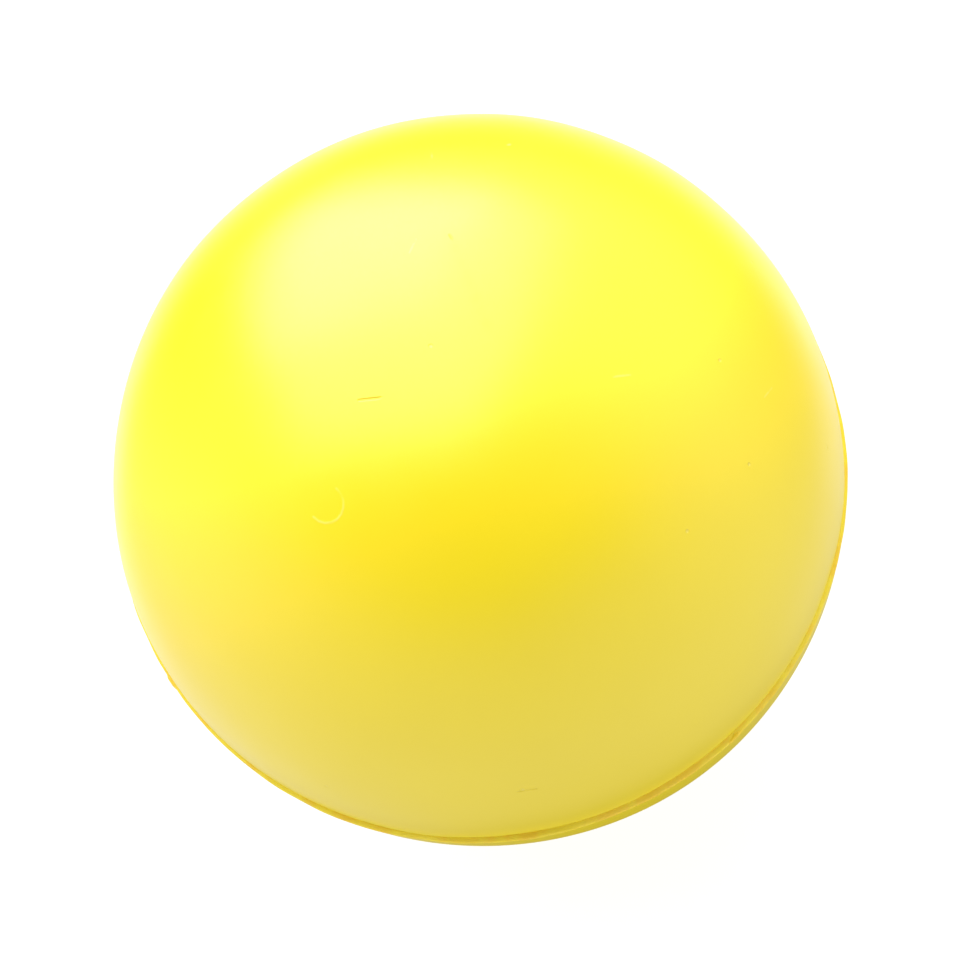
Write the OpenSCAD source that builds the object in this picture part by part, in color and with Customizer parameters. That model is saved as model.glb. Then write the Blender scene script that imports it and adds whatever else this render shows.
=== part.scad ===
// Foam stress ball, moulded in two halves.
// Up (+Z) is the mould axis, from the trimmed pour gate to the opposite pole.
// The origin is the middle of the flat left by the trimmed gate, which is where the ball stands.

/* [Ball] */
// outer diameter over the coat, without the parting bead
ball_d = 70; // [60:1:75]
// thickness of the coloured coat with its dense foam skin
skin_t = 1.5; // [1:0.1:3]
// diameter of the flat that the ball stands on
flat_d = 10; // [9:0.5:14]

/* [Gate] */
// diameter of the pour hole, filled by the trimmed foam plug
gate_d = 7.5; // [4:0.5:8]

/* [Seam] */
// thickness of the film of coat between the two half skins
film_t = 0.3; // [0.2:0.05:0.6]
// width of the parting bead along the mould axis
bead_w = 1.2; // [0.8:0.1:2]
// height of the parting bead above the ball
bead_h = 0.35; // [0.25:0.05:0.6]

/* [Vents] */
// diameter of a vent passage through the skin at the seam
vent_d = 1.2; // [1:0.1:1.6]
// diameter of a nib's trimmed head on the outside
nib_d = 2.4; // [2:0.1:3]
// height of a nib's head above the ball
nib_h = 0.55; // [0.4:0.05:0.8]
// bearing of the first vent, counter-clockwise from the -Y side
vent_1 = 21; // [0:1:45]
// bearing of the second vent
vent_2 = 105; // [75:1:135]
// bearing of the third vent
vent_3 = 195; // [165:1:225]
// bearing of the fourth vent
vent_4 = 281; // [255:1:315]

/* [View] */
// sub-part to draw, or all

/* [Hidden] */

$fn = 128;

ball_r = ball_d / 2;
inner_r = ball_r - skin_t;
// height of the ball's centre, and of the parting plane, above the flat
centre_z = sqrt(pow(ball_r, 2) - pow(flat_d / 2, 2));
// clearance left where curved faces of two pieces lie on each other
bond_gap = 0.02;
// clearance between the foam and the coat round it
core_gap = 0.05;
// radius of the arc that gives the bead its height and width
bead_arc_r = (pow(bead_w / 2, 2) + pow(bead_h, 2)) / (2 * bead_h);
// how far the film runs into the bead, to join it
film_bite = 0.1;
// how far a nib's stem runs into its head, and the head's start below the surface
nib_bite = 0.2;
nib_chamfer = 0.2;
vent_bearings = [vent_1, vent_2, vent_3, vent_4];
// a length past every surface, for cutting tools
over = 5;

yellow = [0.98, 0.86, 0.08];
amber = [0.93, 0.70, 0.06];
foam = [0.95, 0.90, 0.62];

upper_skin();
lower_skin();
foam_core();
parting_bead();
gate_plug();
vent_nibs();

// half of the coat above the parting film, with half a vent passage at each nib
module upper_skin() {
  color(yellow)
    difference() {
      intersection() {
        shell();
        translate([0, 0, centre_z + film_t / 2])
          cylinder(h = ball_r + over, r = ball_r + over);
      }
      vents(vent_d + 2 * bond_gap, inner_r - over, ball_r + over);
    }
}

// half of the coat below the parting film, cut flat at the pour gate
module lower_skin() {
  color(yellow)
    difference() {
      intersection() {
        shell();
        cylinder(h = centre_z - film_t / 2, r = ball_r + over);
      }
      vents(vent_d + 2 * bond_gap, inner_r - over, ball_r + over);
      translate([0, 0, -over])
        cylinder(h = 2 * over, d = gate_d + 2 * bond_gap);
    }
}

// cellular foam that fills the coat
module foam_core() {
  color(foam)
    centred_sphere(inner_r - core_gap);
}

// film of coat squeezed out between the mould halves, ending in a bead round the outside
module parting_bead() {
  color(amber)
    difference() {
      union() {
        difference() {
          translate([0, 0, centre_z])
            rotate_extrude()
              translate([ball_r + bead_h - bead_arc_r, 0])
                circle(r = bead_arc_r);
          centred_sphere(ball_r + bond_gap);
        }
        difference() {
          translate([0, 0, centre_z - film_t / 2])
            cylinder(h = film_t, r = ball_r + film_bite);
          translate([0, 0, centre_z - film_t])
            cylinder(h = 2 * film_t, r = inner_r);
        }
      }
      vents(vent_d + 2 * bond_gap, inner_r - over, ball_r + over);
      vents(nib_d + 2 * bond_gap, ball_r - film_t, ball_r + over);
    }
}

// foam left in the pour hole, cut flush with the flat
module gate_plug() {
  color(foam)
    difference() {
      cylinder(h = 2 * skin_t, d = gate_d);
      centred_sphere(inner_r);
    }
}

// stubs left in the air vents on the parting line, trimmed close to the ball
module vent_nibs() {
  color(amber)
    for (bearing = vent_bearings)
      union() {
        difference() {
          at_bearing(bearing)
            nib_head();
          centred_sphere(ball_r + bond_gap);
        }
        at_bearing(bearing)
          translate([0, 0, inner_r])
            cylinder(h = skin_t + nib_bite, d = vent_d);
      }
}

// round head with a broken edge, standing out of the ball along +Z
module nib_head() {
  translate([0, 0, ball_r - nib_bite])
    cylinder(h = nib_bite + nib_h - nib_chamfer, d = nib_d);
  translate([0, 0, ball_r + nib_h - nib_chamfer])
    cylinder(h = nib_chamfer, d1 = nib_d, d2 = nib_d - 2 * nib_chamfer);
}

// hollow ball of coat
module shell() {
  difference() {
    centred_sphere(ball_r);
    centred_sphere(inner_r);
  }
}

// round bars out through the seam at every vent, from one radius to another
module vents(d, r_from, r_to) {
  for (bearing = vent_bearings)
    at_bearing(bearing)
      translate([0, 0, r_from])
        cylinder(h = r_to - r_from, d = d);
}

// turns +Z to point out of the seam at a bearing from the -Y side
module at_bearing(bearing) {
  translate([0, 0, centre_z])
    rotate([0, 0, bearing])
      rotate([90, 0, 0])
        children();
}

module centred_sphere(r) {
  translate([0, 0, centre_z])
    sphere(r = r);
}
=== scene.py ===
"""Foam stress ball: two coated half skins, a parting bead, vent nibs, a gate plug and a foam core."""
import math

import bpy
import numpy as np
from mathutils import Matrix, Vector


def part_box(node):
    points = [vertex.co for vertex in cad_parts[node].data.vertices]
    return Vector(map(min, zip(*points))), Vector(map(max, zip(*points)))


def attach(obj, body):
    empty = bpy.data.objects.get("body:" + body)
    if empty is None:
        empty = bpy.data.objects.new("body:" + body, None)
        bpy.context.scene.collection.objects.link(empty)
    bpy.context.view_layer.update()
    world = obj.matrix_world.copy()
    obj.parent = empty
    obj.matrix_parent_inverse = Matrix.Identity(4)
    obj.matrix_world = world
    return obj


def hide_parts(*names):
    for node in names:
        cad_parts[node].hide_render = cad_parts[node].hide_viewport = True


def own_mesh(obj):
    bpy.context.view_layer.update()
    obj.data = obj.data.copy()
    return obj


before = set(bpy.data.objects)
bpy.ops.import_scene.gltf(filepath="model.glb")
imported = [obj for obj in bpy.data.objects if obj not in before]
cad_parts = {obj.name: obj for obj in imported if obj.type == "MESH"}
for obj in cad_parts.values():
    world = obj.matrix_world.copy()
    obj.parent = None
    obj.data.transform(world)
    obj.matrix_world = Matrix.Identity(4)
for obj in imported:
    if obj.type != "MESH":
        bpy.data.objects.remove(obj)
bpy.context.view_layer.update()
MM = 0.001

# The ball's own dimensions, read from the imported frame
skin_low, skin_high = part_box("upper_skin")
bead_low, bead_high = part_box("parting_bead")
plug_low, plug_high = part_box("gate_plug")
core_low, core_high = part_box("foam_core")
SEAM_Z = (bead_low.z + bead_high.z) / 2
BALL_R = skin_high.z - SEAM_Z
CORE_R = (core_high.z - core_low.z) / 2
INNER_R = CORE_R + 0.05 * MM
FILM_HALF = skin_low.z - SEAM_Z
FLAT_R = math.sqrt(BALL_R ** 2 - SEAM_Z ** 2)
PLUG_R = (plug_high.x - plug_low.x) / 2
BEAD_H = (bead_high.x - bead_low.x) / 2 - BALL_R
TOP_Z = SEAM_Z + BALL_R
CENTRE = Vector((0, 0, SEAM_Z))

# Mesh density
SEGMENTS = 800
OUTER_RINGS = 100
INNER_RINGS = 8
BEAD_STEPS = 1440
CORE_SEGMENTS = 160

# How the camera stands to the ball: well above the parting plane and turned about its own axis
CAMERA_ELEVATION = math.radians(72.4)
CAMERA_ROLL = math.radians(22.8)
CAMERA_DISTANCE = 10.5 * BALL_R
SENSOR_MM = 36.0
# The ball fills this share of the picture's width, and sits this far right of and above its middle
BALL_SHARE = 0.76
BALL_RIGHT = -0.22 * MM
BALL_UP = 0.15 * MM


# ---------------------------------------------------------------- camera, lights and floor

def camera_axes():
    """Right, up and back directions of the camera."""
    back = Vector((0, -math.cos(CAMERA_ELEVATION), math.sin(CAMERA_ELEVATION)))
    level_right = Vector((1, 0, 0))
    level_up = back.cross(level_right)
    c, s = math.cos(CAMERA_ROLL), math.sin(CAMERA_ROLL)
    right = level_right * c - level_up * s
    up = level_right * s + level_up * c
    return right, up, back


def make_camera():
    right, up, back = camera_axes()
    data = bpy.data.cameras.new("camera")
    data.sensor_width = SENSOR_MM
    data.lens = BALL_SHARE / 2 * SENSOR_MM * math.sqrt((CAMERA_DISTANCE / BALL_R) ** 2 - 1)
    data.clip_start = 0.01
    data.clip_end = 50
    camera = bpy.data.objects.new("camera", data)
    bpy.context.scene.collection.objects.link(camera)
    place = CENTRE + back * CAMERA_DISTANCE - right * BALL_RIGHT - up * BALL_UP
    turn = Matrix((right, up, back)).transposed().to_4x4()
    camera.matrix_world = Matrix.Translation(place) @ turn
    bpy.context.scene.camera = camera


def direction(azimuth, elevation):
    """Unit vector; azimuth 0 is towards -Y and 90 towards +X, elevation is above the table."""
    a, e = math.radians(azimuth), math.radians(elevation)
    return Vector((math.sin(a) * math.cos(e), -math.cos(a) * math.cos(e), math.sin(e)))


LAMP_DISTANCE = 2.0
DAYLIGHT = (0.90, 0.88, 1.0)


def soft_box(name, azimuth, elevation, roll, half_width, half_height, radiance):
    """Rectangular lamp facing the ball; its half sizes are tangents of the angles seen from the ball."""
    data = bpy.data.lights.new(name, "AREA")
    data.shape = "RECTANGLE"
    data.size = 2 * half_width * LAMP_DISTANCE
    data.size_y = 2 * half_height * LAMP_DISTANCE
    data.energy = radiance * math.pi * data.size * data.size_y
    data.color = DAYLIGHT
    lamp = bpy.data.objects.new(name, data)
    bpy.context.scene.collection.objects.link(lamp)
    towards = direction(azimuth, elevation)
    across = Vector((0, 0, 1)).cross(towards).normalized()
    turn = Matrix((across, towards.cross(across), towards)).transposed().to_4x4()
    turn = turn @ Matrix.Rotation(math.radians(roll), 4, "Z")
    lamp.matrix_world = Matrix.Translation(CENTRE + towards * LAMP_DISTANCE) @ turn
    lamp.visible_camera = False


class Nodes:
    """Small helper for building a node tree in short lines."""

    def __init__(self, tree):
        self.tree = tree
        tree.nodes.clear()

    def add(self, kind, inputs=None, **settings):
        node = self.tree.nodes.new(kind)
        for key, value in settings.items():
            setattr(node, key, value)
        for key, value in (inputs or {}).items():
            self.feed(node.inputs[key], value)
        return node

    def feed(self, socket, value):
        if isinstance(value, bpy.types.NodeSocket):
            self.tree.links.new(value, socket)
        else:
            socket.default_value = value

    def math(self, operation, a, b=0.0, clamp=False):
        return self.add("ShaderNodeMath", {0: a, 1: b}, operation=operation, use_clamp=clamp).outputs[0]

    def vector(self, operation, a, b=(0, 0, 0)):
        node = self.add("ShaderNodeVectorMath", {0: a, 1: b}, operation=operation)
        return node.outputs["Value" if operation in ("DOT_PRODUCT", "LENGTH", "DISTANCE") else "Vector"]

    def step(self, value, low, high, to_low=0.0, to_high=1.0):
        """Smooth ramp from to_low at low to to_high at high."""
        values = {"Value": value, "From Min": low, "From Max": high, "To Min": to_low, "To Max": to_high}
        return self.add("ShaderNodeMapRange", values, interpolation_type="SMOOTHSTEP").outputs["Result"]

    def mix(self, factor, a, b):
        node = self.add("ShaderNodeMix", data_type="RGBA")
        self.feed(node.inputs["Factor"], factor)
        self.feed(node.inputs["A"], a)
        self.feed(node.inputs["B"], b)
        return node.outputs["Result"]

    def noise(self, coordinates, scale, detail=2.0, roughness=0.5):
        values = {"Vector": coordinates, "Scale": scale, "Detail": detail, "Roughness": roughness}
        return self.add("ShaderNodeTexNoise", values).outputs["Fac"]


# The studio round the ball: low white walls in front and at the sides, a white table, a large fill panel
# at the back right, dim elsewhere. Directions are azimuth and elevation, and all angles are in degrees.
SURROUND = 1.35
WALLS_TOWARDS = (-20, 0)
# Elevations between which the walls end, and how far round from WALLS_TOWARDS they fade out
WALL_TOP = (0, 50)
BACK_FADE = (70, 130)
# The table is full white below the first elevation and gone above the second
TABLE = 2.5
TABLE_EDGE = (-65, -30)
FILL = 1.35
FILL_TOWARDS = (120, 30)
FILL_EDGE = (15, 70)
ABOVE = 0.03
# The ball keeps the light off the table under itself, a little to the side away from the lamps
SHADE_TOWARDS = (0, -80)
SHADE_EDGE = (5, 60)


def angle_from(n, towards, place):
    """Angle between the direction looked at and a named one."""
    return n.math("ARCCOSINE", n.vector("DOT_PRODUCT", towards, direction(*place)))


def fade(n, angle, edge, start, end):
    """Value that goes softly from start to end while an angle crosses an edge given in degrees."""
    return n.step(angle, math.radians(edge[0]), math.radians(edge[1]), start, end)


def studio_world():
    world = bpy.data.worlds.new("studio")
    world.use_nodes = True
    bpy.context.scene.world = world
    n = Nodes(world.node_tree)
    towards = n.add("ShaderNodeTexCoord").outputs["Generated"]
    height = n.math("ARCSINE", n.add("ShaderNodeSeparateXYZ", {0: towards}).outputs["Z"])
    surround = fade(n, height, WALL_TOP, SURROUND, 0.0)
    front = fade(n, angle_from(n, towards, WALLS_TOWARDS), BACK_FADE, 1.0, 0.0)
    surround = n.math("MULTIPLY", surround, front)
    surround = n.math("MAXIMUM", surround, fade(n, height, TABLE_EDGE, TABLE, 0.0))
    fill = fade(n, angle_from(n, towards, FILL_TOWARDS), FILL_EDGE, FILL, 0.0)
    total = n.math("ADD", n.math("ADD", surround, fill), ABOVE)
    shade = fade(n, angle_from(n, towards, SHADE_TOWARDS), SHADE_EDGE, 0.0, 1.0)
    total = n.math("MULTIPLY", total, shade)
    background = n.add("ShaderNodeBackground", {"Strength": total, "Color": (1, 1, 1, 1)})
    output = n.add("ShaderNodeOutputWorld")
    n.tree.links.new(background.outputs[0], output.inputs["Surface"])


def studio_lamps():
    """Two soft boxes one above the other behind the ball, which show as one broad highlight."""
    soft_box("key_low", 185, 20, -30, 0.5, 0.5, 2.7)
    soft_box("key_high", 185, 45, -30, 0.7, 0.9, 3.7)


# Where the floor turns up, and the cove's radius; how the floor looks to the camera
COVE_FLOOR_R = 1.5
COVE_R = 4.0
FLOOR_SEGMENTS = 96
FLOOR_GREY = 0.2
FLOOR_GLOW = 0.9


def make_floor():
    """White table that runs up into a white cove. Only the camera sees it: the studio lights the ball."""
    profile = [(0.0, 0.0), (0.2, 0.0), (0.6, 0.0), (COVE_FLOOR_R, 0.0)]
    for share in np.linspace(0, 1, 14)[1:]:
        angle = share * math.pi / 2
        spread = COVE_R - COVE_FLOOR_R
        profile.append((COVE_FLOOR_R + spread * math.sin(angle), spread * (1 - math.cos(angle))))
    for angle in np.linspace(0, math.pi / 2, 12)[1:]:
        profile.append((COVE_R * math.cos(angle), COVE_R - COVE_FLOOR_R + COVE_R * math.sin(angle)))
    profile[-1] = (0.0, profile[-1][1])
    vertices, faces = revolve(profile, FLOOR_SEGMENTS, False)
    material, n, shader, _ = principled("white_table")
    shader.inputs["Base Color"].default_value = (FLOOR_GREY, FLOOR_GREY, FLOOR_GREY, 1)
    shader.inputs["Roughness"].default_value = 0.9
    shader.inputs["Specular IOR Level"].default_value = 0.0
    shader.inputs["Emission Color"].default_value = (1, 1, 1, 1)
    shader.inputs["Emission Strength"].default_value = FLOOR_GLOW
    floor = make_object("floor", vertices, faces, material)
    floor.visible_glossy = False
    floor.visible_diffuse = False
    floor.visible_shadow = False


# ---------------------------------------------------------------- meshes

def make_object(name, vertices, faces, material):
    mesh = bpy.data.meshes.new(name)
    mesh.from_pydata([tuple(v) for v in vertices], [], faces)
    mesh.validate()
    mesh.update()
    mesh.polygons.foreach_set("use_smooth", [True] * len(mesh.polygons))
    mesh.materials.append(material)
    piece = bpy.data.objects.new(name, mesh)
    bpy.context.scene.collection.objects.link(piece)
    return piece


def revolve(profile, segments, closed):
    """Vertices and faces of a profile of (radius, height) turned about Z. A radius of 0 is a pole."""
    angles = np.arange(segments) * (2 * math.pi / segments)
    cosines, sines = np.cos(angles), np.sin(angles)
    vertices, rows, faces = [], [], []
    count = 0
    for radius, height in profile:
        if radius < 1e-9:
            vertices.append(np.array([[0.0, 0.0, height]]))
            rows.append([count])
            count += 1
        else:
            vertices.append(np.stack([radius * cosines, radius * sines, np.full(segments, height)], 1))
            rows.append(list(range(count, count + segments)))
            count += segments
    pairs = list(zip(rows, rows[1:]))
    if closed:
        pairs.append((rows[-1], rows[0]))
    for a, b in pairs:
        for i in range(segments):
            j = (i + 1) % segments
            if len(a) == 1 and len(b) == 1:
                break
            if len(a) == 1:
                faces.append((a[0], b[j], b[i]))
            elif len(b) == 1:
                faces.append((a[i], a[j], b[0]))
            else:
                faces.append((a[i], a[j], b[j], b[i]))
    return np.concatenate(vertices), faces


def waves(points, seed, count, shortest, longest):
    """Smooth random values from -1 to 1 or so, from a sum of plane waves of the given lengths."""
    rng = np.random.default_rng(seed)
    total = np.zeros(len(points))
    for _ in range(count):
        axis = rng.normal(size=3)
        axis /= np.linalg.norm(axis)
        length = math.exp(rng.uniform(math.log(shortest), math.log(longest)))
        total += np.sin(points @ axis * (2 * math.pi / length) + rng.uniform(0, 2 * math.pi))
    return total / math.sqrt(count / 2) / 1.6


def arc(radius, start, end, count):
    """Points (r, z) of the ball's section from one angle above the parting plane to another."""
    return [(radius * math.cos(a), SEAM_Z + radius * math.sin(a)) for a in np.linspace(start, end, count)]


def skin_angles(edge, far, count):
    """Angles from the parting plane to the far end, closer together near the parting plane."""
    t = np.linspace(0, 1, count)
    spread = 0.35 * t + 0.65 * t ** 1.6
    return edge + (far - edge) * spread


# The skins' rounded rims at the film, and how uneven the moulding came out: height and lengths of its waves
EDGE_ROUND = 0.12 * MM
UNEVEN = 0.055 * MM
UNEVEN_SHORTEST = 12 * MM
UNEVEN_LONGEST = 60 * MM
UNEVEN_WAVES = 28
UPPER_SEED = 11
LOWER_SEED = 12
# The flat stays flat: unevenness grows from nothing at the table to its full height here
FLAT_LIFT = 3 * MM

# Clearance between the plug and the hole that it fills, and the hole's broken edge
PLUG_GAP = 0.02 * MM
HOLE_BEVEL = 0.1 * MM
FLAT_EDGE = 0.2 * MM
FLAT_EDGE_TURN = 0.006

# The lower mould half sat a little to one side, so its half of the ball stands out there as a soft ledge
MISMATCH = 0.25 * MM
MISMATCH_BEARING = math.radians(-62)
MISMATCH_FADE = 12 * MM

# Below one vent the foam pushed the soft coat out a little
SWELLING = 0.25 * MM
SWELLING_BEARING = math.radians(-68)
SWELLING_DEPTH = 9 * MM
SWELLING_REACH = 13 * MM


def outward(vertices):
    """Unit directions from the ball's centre, and how near the outside each vertex is, from 0 to 1."""
    out = vertices - np.array(CENTRE)
    distance = np.linalg.norm(out, axis=1)
    share = np.clip((distance - INNER_R) / (BALL_R - INNER_R), 0, 1)
    return out / distance[:, None], share


def uneven(vertices, seed):
    """Offsets in and out, as a soft moulding gets when it cools."""
    out, share = outward(vertices)
    lift = np.clip(vertices[:, 2] / FLAT_LIFT, 0, 1)
    height = waves(vertices, seed, UNEVEN_WAVES, UNEVEN_SHORTEST, UNEVEN_LONGEST) * UNEVEN * share * lift
    return out * height[:, None]


def lower_half(vertices):
    """Offsets of the lower half: the mould mismatch, fading out towards the flat, and the swelling."""
    out, share = outward(vertices)
    fade = np.clip(vertices[:, 2] / MISMATCH_FADE, 0, 1)
    amount = MISMATCH * share * fade * fade * (3 - 2 * fade)
    aside = np.array([math.cos(MISMATCH_BEARING), math.sin(MISMATCH_BEARING), 0])
    middle = np.array([BALL_R * math.cos(SWELLING_BEARING), BALL_R * math.sin(SWELLING_BEARING),
                       SEAM_Z - SWELLING_DEPTH])
    apart = np.linalg.norm(vertices - middle, axis=1) / SWELLING_REACH
    swell = SWELLING * share * np.exp(-apart ** 2)
    return amount[:, None] * aside + out * swell[:, None]


def upper_profile():
    edge = math.asin((FILM_HALF + EDGE_ROUND) / BALL_R)
    profile = []
    for a in skin_angles(edge, math.pi / 2, OUTER_RINGS):
        profile.append((BALL_R * math.cos(a), SEAM_Z + BALL_R * math.sin(a)))
    profile[-1] = (0.0, TOP_Z)
    inner_edge = math.asin(FILM_HALF / INNER_R)
    inner = arc(INNER_R, math.pi / 2, inner_edge, INNER_RINGS * 2)
    inner[0] = (0.0, SEAM_Z + INNER_R)
    rim = (BALL_R - EDGE_ROUND, SEAM_Z + FILM_HALF)
    return profile + inner + [rim]


def upper_coat(material):
    vertices, faces = revolve(upper_profile(), SEGMENTS, True)
    return make_object("coat_upper", vertices + uneven(vertices, UPPER_SEED), faces, material)


def lower_coat(material):
    edge = math.asin((FILM_HALF + EDGE_ROUND) / BALL_R)
    flat = math.acos(FLAT_R / BALL_R)
    profile = []
    for a in skin_angles(edge, flat - FLAT_EDGE_TURN, OUTER_RINGS):
        profile.append((BALL_R * math.cos(a), SEAM_Z - BALL_R * math.sin(a)))
    hole = PLUG_R + PLUG_GAP
    profile += [(FLAT_R - FLAT_EDGE, 0.0), (hole + HOLE_BEVEL, 0.0), (hole, HOLE_BEVEL)]
    top = math.acos(hole / INNER_R)
    inner_edge = math.asin(FILM_HALF / INNER_R)
    for a in np.linspace(top, inner_edge, INNER_RINGS * 2):
        profile.append((INNER_R * math.cos(a), SEAM_Z - INNER_R * math.sin(a)))
    profile.append((BALL_R - EDGE_ROUND, SEAM_Z - FILM_HALF))
    vertices, faces = revolve(profile, SEGMENTS, True)
    faces = [tuple(reversed(f)) for f in faces]
    vertices = vertices + uneven(vertices, LOWER_SEED) + lower_half(vertices)
    return make_object("coat_lower", vertices, faces, material)


# The bead's section: where its feet stand above the parting plane, how it swells, how deep it is rooted
BEAD_POINTS = 21
BEAD_UPPER_FOOT = 0.18 * MM
BEAD_LOWER_FOOT = -0.75 * MM
BEAD_SKEW = 0.9
BEAD_SOFTNESS = 1.3
BEAD_ROOT = 0.03 * MM
BEAD_STEM = 0.3 * MM
BEAD_OVER_LEDGE = 0.06 * MM
# The flash was trimmed closer on one side
CLOSE_TRIM_BEARING = math.radians(20)
CLOSE_TRIM = 0.70
# How the trimmer's hand wandered: usual height, unevenness and limits as shares of the bead's height
TRIM_USUAL = 0.95
TRIM_UNEVEN = 0.14
TRIM_LOWEST = 0.25
TRIM_HIGHEST = 1.1
DRIFT = 0.04 * MM


def bead_cap(turn, crest, drift):
    """Outside of the bead for every step round: it swells out of one skin and settles on the other."""
    t = np.linspace(0, 1, BEAD_POINTS)[None, :]
    swell = np.sin(math.pi * t ** BEAD_SKEW) ** BEAD_SOFTNESS
    root = BEAD_ROOT * (2 * t - 1) ** 6
    height = BEAD_UPPER_FOOT + (BEAD_LOWER_FOOT - BEAD_UPPER_FOOT) * t + 0 * crest[:, None]
    radius = BALL_R - height * height / (2 * BALL_R) - root
    on_skin = np.stack([radius * np.cos(turn)[:, None], radius * np.sin(turn)[:, None], SEAM_Z + height], 2)
    flat = on_skin.reshape(-1, 3)
    settle = np.tile((t * t * (3 - 2 * t)).reshape(-1), len(turn))[:, None]
    shift = (1 - settle) * uneven(flat, UPPER_SEED) + settle * (uneven(flat, LOWER_SEED) + lower_half(flat))
    cap = (flat + shift).reshape(on_skin.shape)
    out = np.stack([np.cos(turn), np.sin(turn), 0 * turn], 1)[:, None, :]
    cap += out * (crest[:, None] * swell)[:, :, None]
    cap[:, :, 2] += drift[:, None]
    return cap


def parting_bead(material):
    """Bead and film swept round the seam, with the uneven height of flash trimmed by hand."""
    turn = np.arange(BEAD_STEPS) * (2 * math.pi / BEAD_STEPS)
    around = np.stack([np.cos(turn), np.sin(turn), 0 * turn], 1)
    trimmed = waves(around * BALL_R, 21, 20, 2.5 * MM, 30 * MM)
    closeness = (1 + np.cos(turn - CLOSE_TRIM_BEARING)) / 2
    share = TRIM_USUAL - CLOSE_TRIM * closeness + TRIM_UNEVEN * trimmed
    height = BEAD_H * np.clip(share, TRIM_LOWEST, TRIM_HIGHEST)
    ledge = np.cos(turn - MISMATCH_BEARING)
    crest = height + BEAD_OVER_LEDGE * np.abs(ledge)
    drift = DRIFT * waves(around * BALL_R, 23, 12, 8 * MM, 60 * MM)
    cap = bead_cap(turn, crest, drift)
    stem = []
    neck = BALL_R - BEAD_STEM
    for radius, side in ((neck, -1), (INNER_R, -1), (INNER_R, 1), (neck, 1)):
        stem.append(around * radius + np.array([0, 0, SEAM_Z + side * FILM_HALF]))
    vertices = np.concatenate([cap, np.stack(stem, 1)], 1)
    count = vertices.shape[1]
    faces = []
    for i in range(BEAD_STEPS):
        j = (i + 1) % BEAD_STEPS
        for k in range(count):
            m = (k + 1) % count
            faces.append((i * count + k, i * count + m, j * count + m, j * count + k))
    return make_object("bead", vertices.reshape(-1, 3), faces, material)


def nib_bearings():
    """Angles about Z of the vent nibs, from the CAD solids."""
    points = np.array([v.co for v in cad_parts["vent_nibs"].data.vertices])
    angles = np.sort(np.arctan2(points[:, 1], points[:, 0]))
    groups, start = [], 0
    for i in range(1, len(angles) + 1):
        if i == len(angles) or angles[i] - angles[i - 1] > 0.3:
            groups.append(float(angles[start:i].mean()))
            start = i
    return groups


# A nib's half length round the seam and half height along the mould axis, its place, and how it is cut
NIB_LONG = 1.15 * MM
NIB_TALL = 0.42 * MM
NIB_DROP = -0.42 * MM
NIB_SEAT = 0.05 * MM
NIB_PEAKS = (0.36 * MM, 0.44 * MM)
NIB_SLANT = 0.12
NIB_ROOT = 0.5 * MM
NIB_RINGS = 14
NIB_SEGMENTS = 48


def vent_nibs(material):
    """Trimmed stubs at the vents: low lumps with an uneven, slanting cut."""
    rng = np.random.default_rng(31)
    vertices, faces = [], []
    for bearing in nib_bearings():
        rough = rng.uniform(0, 2 * math.pi, 5)
        slant = rng.uniform(-NIB_SLANT, NIB_SLANT, 2)
        peak = rng.uniform(*NIB_PEAKS)
        ledge = NIB_SEAT + 0.5 * MISMATCH * math.cos(bearing - MISMATCH_BEARING)
        base = len(vertices)
        for ring in range(NIB_RINGS + 1):
            share = ring / NIB_RINGS
            for k in range(NIB_SEGMENTS):
                a = 2 * math.pi * k / NIB_SEGMENTS
                wobble = 1 + 0.07 * math.sin(2 * a + rough[0]) + 0.05 * math.sin(5 * a + rough[1])
                along = NIB_LONG * share * wobble * math.cos(a)
                up = NIB_TALL * share * wobble * math.sin(a)
                cut = 1 + slant[0] * along / NIB_LONG + slant[1] * up / NIB_TALL
                rise = peak * (1 - share ** 4) ** 0.8 * cut
                rise += 0.03 * MM * math.sin(3 * a + rough[2]) * share * (1 - share)
                radius = BALL_R + ledge + rise
                angle = bearing + along / BALL_R
                height = SEAM_Z + NIB_DROP + up
                vertices.append((radius * math.cos(angle), radius * math.sin(angle), height))
                if ring == 0:
                    break
        rows = [[base]]
        for ring in range(NIB_RINGS):
            rows.append([base + 1 + ring * NIB_SEGMENTS + k for k in range(NIB_SEGMENTS)])
        root = len(vertices)
        deep = BALL_R - NIB_ROOT
        vertices.append((deep * math.cos(bearing), deep * math.sin(bearing), SEAM_Z))
        for k in range(NIB_SEGMENTS):
            m = (k + 1) % NIB_SEGMENTS
            faces.append((rows[0][0], rows[1][k], rows[1][m]))
            for a, b in zip(rows[1:], rows[2:]):
                faces.append((a[k], b[k], b[m], a[m]))
            faces.append((rows[-1][k], root, rows[-1][m]))
    return make_object("nibs", vertices, faces, material)


PLUG_RINGS = 26
PLUG_SEGMENTS = 120
PLUG_SEED = 41
CUT_CELLS = 420
CELL_SIZES = (0.16, 0.34)
CELL_DEPTH = 0.7
CORE_LUMP = 0.12 * MM


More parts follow.
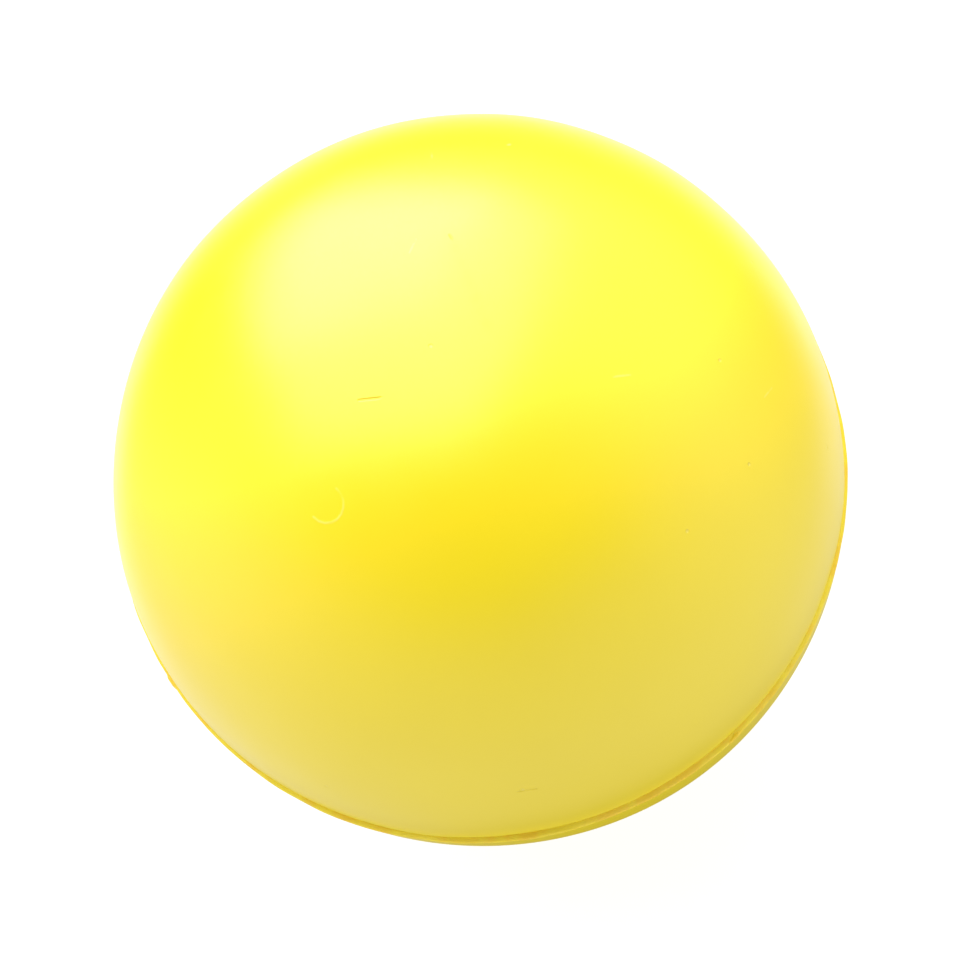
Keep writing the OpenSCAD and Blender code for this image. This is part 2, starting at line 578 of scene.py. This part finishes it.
def gate_plug(material):
    """Foam stub in the pour hole, with the open cells of a clean cut on its underside."""
    rng = np.random.default_rng(PLUG_SEED)
    cells = rng.uniform(-PLUG_R, PLUG_R, (CUT_CELLS, 2))
    sizes = rng.uniform(*CELL_SIZES, CUT_CELLS) * MM
    top = math.sqrt(INNER_R ** 2 - PLUG_R ** 2)
    profile = [(0.0, SEAM_Z - INNER_R)]
    for share in np.linspace(0, 1, 8)[1:]:
        radius = PLUG_R * share
        profile.append((radius, SEAM_Z - math.sqrt(INNER_R ** 2 - radius ** 2)))
    profile += [(PLUG_R, 0.5 * (SEAM_Z - top) + 0.05 * MM), (PLUG_R - 0.03 * MM, 0.03 * MM)]
    for share in np.linspace(0.985, 0, PLUG_RINGS):
        profile.append((PLUG_R * share, 0.0))
    vertices, faces = revolve(profile, PLUG_SEGMENTS, False)
    faces = [tuple(reversed(f)) for f in faces]
    low = vertices[:, 2] < 0.01 * MM
    for (x, y), size in zip(cells, sizes):
        far = np.hypot(vertices[:, 0] - x, vertices[:, 1] - y) / size
        near = low & (far < 1)
        vertices[near, 2] = np.maximum(vertices[near, 2], CELL_DEPTH * size * np.sqrt(1 - far[near] ** 2))
    return make_object("plug", vertices, faces, material)


def foam_core(material):
    """The filling, slightly lumpy where it met the skin."""
    profile = arc(CORE_R, math.pi / 2, -math.pi / 2, CORE_SEGMENTS // 2)
    profile[0] = (0.0, SEAM_Z + CORE_R)
    profile[-1] = (0.0, SEAM_Z - CORE_R)
    vertices, faces = revolve(profile, CORE_SEGMENTS, False)
    faces = [tuple(reversed(f)) for f in faces]
    out = vertices - np.array(CENTRE)
    lumps = np.minimum(waves(vertices, 51, 40, 1.5 * MM, 8 * MM), 0.5) - 0.5
    vertices = vertices + out / CORE_R * (CORE_LUMP * lumps)[:, None]
    return make_object("core", vertices, faces, material)


# ---------------------------------------------------------------- materials

def principled(name):
    material = bpy.data.materials.new(name)
    material.use_nodes = True
    n = Nodes(material.node_tree)
    shader = n.add("ShaderNodeBsdfPrincipled")
    output = n.add("ShaderNodeOutputMaterial")
    n.tree.links.new(shader.outputs[0], output.inputs["Surface"])
    coordinates = n.add("ShaderNodeTexCoord").outputs["Object"]
    return material, n, shader, coordinates


# Colours of the coat, the seam's flash, the cut vents (paler as painted light), marks and painted glints,
# and foam cells (hollows in painted shade)
COAT_YELLOW = (0.86, 0.68, 0.010, 1)
COAT_DEEPER = (0.85, 0.67, 0.010, 1)
FLASH_YELLOW = (0.88, 0.695, 0.014, 1)
FLASH_DEEPER = (0.88, 0.590, 0.010, 1)
# The cut vents' orange, made paler than its own colour to make up for light the nibs' outward faces miss:
# partly painted light
NIB_AMBER_PAINTED_LIGHT = (0.93, 0.66, 0.014, 1)
# Pale colour for the hair line, and for painted glints on pinholes and raised strokes
PALE_MARK_AND_GLINT = (0.95, 0.90, 0.45, 1)
MARK_DARK = (0.45, 0.24, 0.02, 1)
# Darker colour for the foam's cell hollows: painted shade
CELL_HOLLOW_PAINTED_SHADE = (0.72, 0.60, 0.25, 1)
CELL_WALL = (0.93, 0.86, 0.55, 1)
COAT_IOR = 1.55

# Marks scattered over the upper half, pinholes and raised strokes with a painted glint and dark nicks: how
# many of each, and how long the strokes are
GLINTING_PINHOLES = 10
NICKS = 3
GLINT_STROKES = 6
STROKE = (0.8 * MM, 2.2 * MM)
MARKS_SEED = 61

# A hair cast into the coat: the middle of its curl, the curl's radius, where it starts and how far it turns
HAIR_PLACE = (-63, 65)
HAIR_RADIUS = 1.7 * MM
HAIR_START = -100
HAIR_SWEEP = 190
HAIR_STEPS = 9

# A scuff from the back right up towards the top
SCUFF_FROM = (150, 70)
SCUFF_TO = (105, 80)


def on_ball(place):
    return CENTRE + direction(*place) * BALL_R


def scattered_places(rng, count):
    """Points spread evenly over the part of the ball above the parting plane."""
    places = []
    for _ in range(count):
        elevation = math.degrees(math.asin(rng.uniform(0.1, 1)))
        places.append(on_ball((rng.uniform(-180, 180), elevation)))
    return places


def scattered_strokes(rng, count):
    strokes = []
    for start in scattered_places(rng, count):
        across = (start - CENTRE).cross(Vector(rng.normal(size=3))).normalized()
        strokes.append((start, start + across * rng.uniform(*STROKE)))
    return strokes


def hair_strokes():
    """Short strokes along the hair's curl, which lies on the ball round HAIR_PLACE."""
    out = direction(*HAIR_PLACE)
    across = Vector((0, 0, 1)).cross(out).normalized()
    up = out.cross(across)
    points = []
    for step in range(HAIR_STEPS + 1):
        turn = math.radians(HAIR_START + HAIR_SWEEP * step / HAIR_STEPS)
        aside = (across * math.cos(turn) + up * math.sin(turn)) * HAIR_RADIUS
        points.append(CENTRE + (out * BALL_R + aside).normalized() * BALL_R)
    return list(zip(points, points[1:]))


def distance_to_strokes(n, at, strokes):
    """Distance from a shading point to the nearest of some short straight strokes."""
    nearest = None
    for a, b in strokes:
        from_a = n.vector("SUBTRACT", at, a)
        share = n.vector("DOT_PRODUCT", from_a, (b - a) / (b - a).length_squared)
        share = n.math("MAXIMUM", n.math("MINIMUM", share, 1.0), 0.0)
        along = n.add("ShaderNodeVectorMath", {0: b - a, "Scale": share}, operation="SCALE")
        apart = n.vector("DISTANCE", from_a, along.outputs["Vector"])
        nearest = apart if nearest is None else n.math("MINIMUM", nearest, apart)
    return nearest


def distance_to_places(n, at, places):
    nearest = None
    for place in places:
        apart = n.vector("DISTANCE", at, place)
        nearest = apart if nearest is None else n.math("MINIMUM", nearest, apart)
    return nearest


def coat_material():
    """Satin polyurethane coat over soft foam: even yellow, a faint orange peel, handling marks and painted
    glints.
    """
    material, n, shader, at = principled("pu_coat")
    tone = n.noise(at, 70, 3)
    colour = n.mix(n.step(tone, 0.35, 0.65), COAT_YELLOW, COAT_DEEPER)
    height_in_ball = n.add("ShaderNodeSeparateXYZ", {0: at}).outputs["Z"]
    near_seam = n.math("ABSOLUTE", n.math("SUBTRACT", height_in_ball, SEAM_Z))
    colour = n.mix(n.step(near_seam, 0.2 * MM, 1.4 * MM, 0.5, 0.0), colour, FLASH_YELLOW)

    # Pores and pinholes: real pits in the bump, and a pale colour on them that is a painted glint
    pores = n.add("ShaderNodeTexVoronoi", {"Vector": at, "Scale": 130.0})
    lot = n.add("ShaderNodeSeparateXYZ", {0: pores.outputs["Color"]}).outputs["X"]
    chosen = n.step(lot, 0.80, 0.82)
    reach = n.math("MULTIPLY", n.noise(at, 60, 0), 0.035)
    beyond = n.math("SUBTRACT", pores.outputs["Distance"], reach)
    pore = n.math("MULTIPLY", chosen, n.step(beyond, 0.0, 0.012, 1, 0))
    rng = np.random.default_rng(MARKS_SEED)
    apart = distance_to_places(n, at, scattered_places(rng, GLINTING_PINHOLES))
    pinhole_and_glint = n.step(apart, 0.10 * MM, 0.22 * MM, 1.0, 0.0)
    pinhole_and_glint = n.math("MAXIMUM", pinhole_and_glint, n.math("MULTIPLY", pore, 0.8))
    hair = n.step(distance_to_strokes(n, at, hair_strokes()), 0.04 * MM, 0.16 * MM, 1.0, 0.0)
    # Short raised strokes: a real ridge and rougher finish, and a pale colour that is a painted glint
    apart = distance_to_strokes(n, at, scattered_strokes(rng, GLINT_STROKES))
    glint_stroke = n.step(apart, 0.05 * MM, 0.15 * MM, 1.0, 0.0)
    apart = distance_to_strokes(n, at, scattered_strokes(rng, NICKS))
    nick = n.step(apart, 0.06 * MM, 0.18 * MM, 1.0, 0.0)
    apart = distance_to_strokes(n, at, [(on_ball(SCUFF_FROM), on_ball(SCUFF_TO))])
    scuff = n.step(apart, 0.1 * MM, 0.7 * MM, 1.0, 0.0)
    scuff = n.math("MULTIPLY", scuff, n.step(n.noise(at, 900, 3), 0.35, 0.6))

    broken = n.step(n.noise(at, 1300, 1), 0.38, 0.55)
    hair = n.math("MULTIPLY", hair, n.step(n.noise(at, 700, 1), 0.25, 0.60, 0.1, 0.5))
    glint_stroke = n.math("MULTIPLY", glint_stroke, n.math("MULTIPLY", broken, 0.5))
    nick = n.math("MULTIPLY", nick, broken)
    # Pale colour: the hair's pale line, and painted glints on the raised strokes and pinholes
    pale = n.math("MAXIMUM", n.math("MAXIMUM", hair, glint_stroke), n.math("MULTIPLY", pinhole_and_glint, 0.5))
    colour = n.mix(n.math("MULTIPLY", pale, 0.28), colour, PALE_MARK_AND_GLINT)
    colour = n.mix(n.math("MULTIPLY", nick, 0.12), colour, MARK_DARK)
    n.feed(shader.inputs["Base Color"], colour)
    satin = n.step(n.noise(at, 160, 4), 0.3, 0.7, 0.325, 0.355)
    satin = n.math("ADD", satin, n.math("MULTIPLY", scuff, 0.10))
    satin = n.math("ADD", satin, n.math("MULTIPLY", n.math("MAXIMUM", nick, pale), 0.15))
    n.feed(shader.inputs["Roughness"], satin)
    shader.inputs["IOR"].default_value = COAT_IOR

    peel = n.math("MULTIPLY", n.noise(at, 1400, 2), 0.020)
    swell = n.math("MULTIPLY", n.noise(at, 260, 2), 0.10)
    height = n.math("ADD", peel, swell)
    height = n.math("SUBTRACT", height, n.math("MULTIPLY", n.math("MAXIMUM", nick, pinhole_and_glint), 0.5))
    height = n.math("ADD", height, n.math("MULTIPLY", n.math("MAXIMUM", hair, glint_stroke), 0.22))
    bump = n.add("ShaderNodeBump", {"Strength": 1.0, "Distance": 0.1 * MM, "Height": height})
    n.feed(shader.inputs["Normal"], bump.outputs[0])
    return material


def flash_material(name, colour, deeper):
    """Coat left thick at the parting line: deeper amber, and duller where it was trimmed and rubbed."""
    material, n, shader, at = principled(name)
    tone = n.noise(at, 420, 3)
    n.feed(shader.inputs["Base Color"], n.mix(n.step(tone, 0.40, 0.65), colour, deeper))
    n.feed(shader.inputs["Roughness"], n.step(n.noise(at, 900, 2), 0.3, 0.7, 0.42, 0.58))
    shader.inputs["IOR"].default_value = COAT_IOR
    shader.inputs["Specular IOR Level"].default_value = 0.42
    cuts = n.noise(at, 2600, 2)
    bump = n.add("ShaderNodeBump", {"Strength": 0.5, "Distance": 0.05 * MM, "Height": cuts})
    n.feed(shader.inputs["Normal"], bump.outputs[0])
    return material


def foam_material():
    """Cellular polyurethane: pale yellow, matte, pitted with small open cells, with painted shade in their
    hollows.
    """
    material, n, shader, at = principled("pu_foam")
    cells = n.add("ShaderNodeTexVoronoi", {"Vector": at, "Scale": 2600.0}).outputs["Distance"]
    # The cell hollows get a darker colour: painted shade where the bump is lowest
    colour = n.mix(n.step(cells, 0.1, 0.6), CELL_HOLLOW_PAINTED_SHADE, CELL_WALL)
    n.feed(shader.inputs["Base Color"], colour)
    n.feed(shader.inputs["Roughness"], n.step(cells, 0.0, 0.7, 0.95, 0.75))
    bump = n.add("ShaderNodeBump", {"Strength": 0.8, "Distance": 0.2 * MM, "Height": cells})
    n.feed(shader.inputs["Normal"], bump.outputs[0])
    return material


# ---------------------------------------------------------------- assembly

def place(piece, node, body, material_slot, fill):
    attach(piece, body)
    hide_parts(node)
    if body == "lower_half":
        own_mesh(piece)


coat = coat_material()
flash = flash_material("pu_flash", FLASH_YELLOW, FLASH_DEEPER)
# The nibs' material: their orange is partly painted light, paler to stand in for light they miss
nib_cut_painted_light = flash_material("pu_nib_cut_painted_light", NIB_AMBER_PAINTED_LIGHT, FLASH_DEEPER)
foam = foam_material()
place(upper_coat(coat), "upper_skin", "lower_half", "coat", 1.0)
place(lower_coat(coat), "lower_skin", "lower_half", "coat", 1.0)
place(foam_core(foam), "foam_core", "lower_half", "foam", 1.0)
place(gate_plug(foam), "gate_plug", "lower_half", "foam", 1.0)
place(parting_bead(flash), "parting_bead", "seam_ring", "flash", 1.0)
place(vent_nibs(nib_cut_painted_light), "vent_nibs", "seam_ring", "flash", 1.0)

make_camera()
studio_world()
studio_lamps()
make_floor()
bpy.context.scene.view_settings.view_transform = "Standard"
